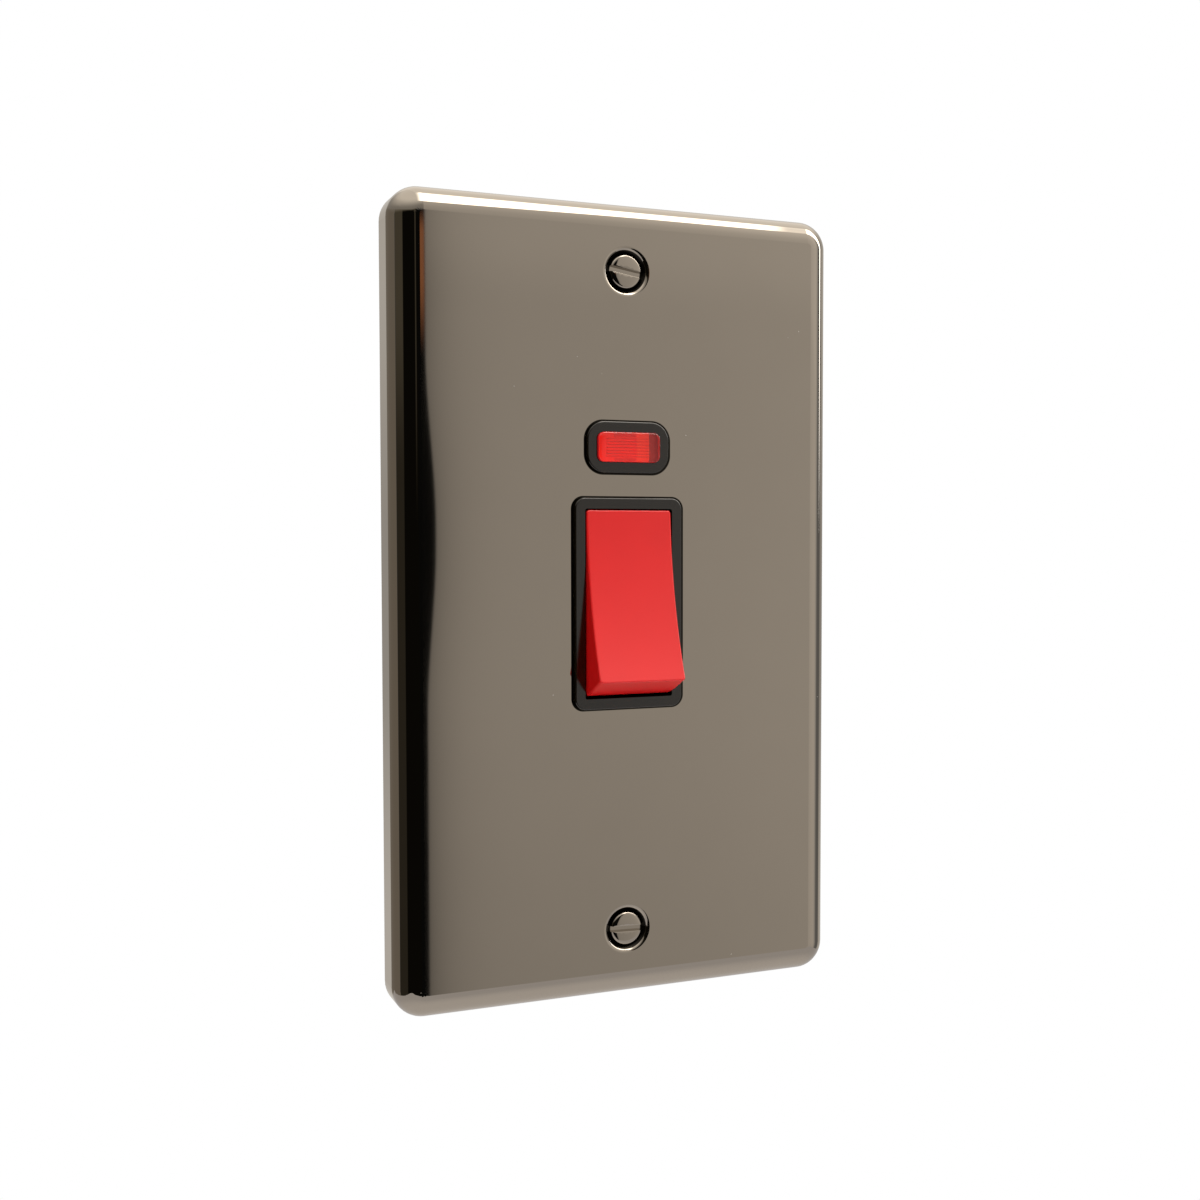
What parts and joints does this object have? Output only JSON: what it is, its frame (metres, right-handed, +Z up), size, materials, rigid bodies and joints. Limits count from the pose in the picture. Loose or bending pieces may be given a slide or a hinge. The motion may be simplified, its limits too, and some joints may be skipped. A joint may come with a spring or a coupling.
{
  "type": "cooker switch",
  "caption": "Double-pole cooker switch on an upright double plate in mirror black nickel, with a red rocker and a red neon indicator.",
  "frame": {"origin": "centre of the plate's back rim, in the wall plane", "axes": "+Z up the plate's long side, +X to the right seen from the front, the front faces -Y and the mechanism lies at +Y"},
  "size_m": [0.086, 0.0399, 0.146],
  "materials": {
    "black_nickel": "mirror black nickel",
    "black_plastic": "satin black",
    "housing_plastic": "plain white moulding",
    "red_plastic": "gloss red",
    "red_lens": "clear red",
    "nylon": "natural nylon",
    "steel": "zinc plated",
    "brass": "plain brass",
    "silver": "silver contact alloy",
    "lamp_glass": "clear glass",
    "lead_sleeve": "pale sleeving",
    "resistor_body": "tan film body"
  },
  "bodies": {
    "base": {"front_plate": "black_nickel", "fixing_screws": "black_nickel", "front_moulding": "black_plastic", "supply_terminal_left": "brass", "supply_terminal_right": "brass", "load_terminal_left": "brass", "load_terminal_right": "brass", "fixed_tips": "silver", "terminal_screws": "steel", "rear_housing": "housing_plastic", "plate_pillars": "steel", "mechanism_screws": "steel", "neon_lens": "red_lens", "neon_lamp": "lamp_glass", "neon_electrodes": "steel", "neon_leads": "lead_sleeve", "neon_resistor": "resistor_body", "earth_pillar": "brass", "earth_screw": "steel"},
    "rocker": {"rocker": "red_plastic", "plunger_spring_left": "steel", "plunger_spring_right": "steel"},
    "plunger_left": {"plunger_left": "nylon"},
    "plunger_right": {"plunger_right": "nylon"},
    "contact_left": {"moving_contact_left": "brass", "moving_tip_left": "silver"},
    "contact_right": {"moving_contact_right": "brass", "moving_tip_right": "silver"}
  },
  "joints": [
    {"name": "rocker_turn", "type": "hinge", "parent": "base", "child": "rocker", "pos_m": [0, -0.0072, 0], "axis": [1, 0, 0], "range_deg": [0, 25]},
    {"name": "plunger_left_slide", "type": "slide", "parent": "rocker", "child": "plunger_left", "axis": [0, -0.9763, 0.2164], "range_m": [0, 0.0015], "stiffness_N_per_m": 400, "deforming": ["plunger_spring_left"]},
    {"name": "plunger_right_slide", "type": "slide", "parent": "rocker", "child": "plunger_right", "axis": [0, -0.9763, 0.2164], "range_m": [0, 0.0015], "stiffness_N_per_m": 400, "deforming": ["plunger_spring_right"]},
    {"name": "contact_left_turn", "type": "hinge", "parent": "base", "child": "contact_left", "pos_m": [-0.0044, 0.0079, 0], "axis": [1, 0, 0], "range_deg": [-17, 0]},
    {"name": "contact_right_turn", "type": "hinge", "parent": "base", "child": "contact_right", "pos_m": [0.0044, 0.0079, 0], "axis": [1, 0, 0], "range_deg": [-17, 0]}
  ],
  "couplings": [
    {"joint": "contact_left_turn", "follows": "rocker_turn", "ratio": -0.68},
    {"joint": "contact_right_turn", "follows": "rocker_turn", "ratio": -0.68}
  ]
}
